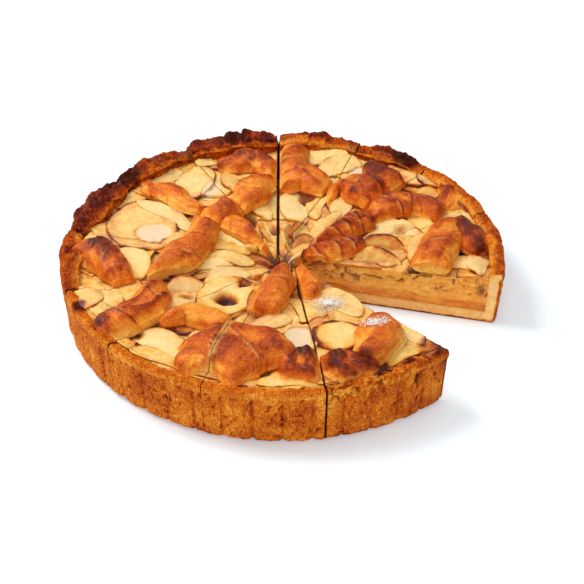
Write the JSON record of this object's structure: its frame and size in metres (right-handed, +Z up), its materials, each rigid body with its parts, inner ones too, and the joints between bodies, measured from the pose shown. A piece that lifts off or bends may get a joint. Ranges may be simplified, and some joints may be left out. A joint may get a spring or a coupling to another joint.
{
  "type": "apple tart",
  "caption": "Round apple tart in a deep fluted crust, topped with strips of dough and cut into slices, with an open gap one portion wide.",
  "frame": {"origin": "middle of the base, on the surface that the tart rests on", "axes": "+Z up, +Y from the viewer's side of the picture towards its far side, +X towards its right, where the gap is open between +X and -Y"},
  "size_m": [0.2814, 0.2814, 0.0472],
  "materials": {
    "crust": "matte, crumbly baked crust, orange brown with a dark red brown rim",
    "apple": "moist baked apple, cream to pale yellow with thin browned edges",
    "dough": "baked dough with a slight gloss, golden to red brown"
  },
  "bodies": {
    "root": {"crust_01": "crust", "crust_02": "crust", "crust_03": "crust", "crust_04": "crust", "crust_05": "crust", "crust_06": "crust", "crust_07": "crust", "crust_08": "crust", "crust_09": "crust", "crust_10": "crust", "crust_11": "crust", "crust_12": "crust", "filling_01": "apple", "filling_02": "apple", "filling_03": "apple", "filling_04": "apple", "filling_05": "apple", "filling_06": "apple", "filling_07": "apple", "filling_08": "apple", "filling_09": "apple", "filling_10": "apple", "filling_11": "apple", "filling_12": "apple", "strip_back_bent": "dough", "strip_back_cut": "dough", "strip_back_dark": "dough", "strip_back_flake": "dough", "strip_back_lobe": "dough", "strip_back_rim": "dough", "strip_back_round": "dough", "strip_back_wide": "dough", "strip_front_dark": "dough", "strip_front_inner": "dough", "strip_front_leaf_10": "dough", "strip_front_leaf_11": "dough", "strip_front_left": "dough", "strip_front_long": "dough", "strip_front_rim": "dough", "strip_front_sugar": "dough", "strip_front_tip": "dough", "strip_left_inner": "dough", "strip_left_long_07": "dough", "strip_left_long_08": "dough", "strip_left_ridged": "dough", "strip_left_rim": "dough", "strip_left_upper": "dough", "strip_right_arch": "dough", "strip_right_long": "dough", "strip_right_lower": "dough", "strip_right_rim": "dough", "strip_right_thin": "dough", "strip_right_upper": "dough"}
  },
  "joints": []
}
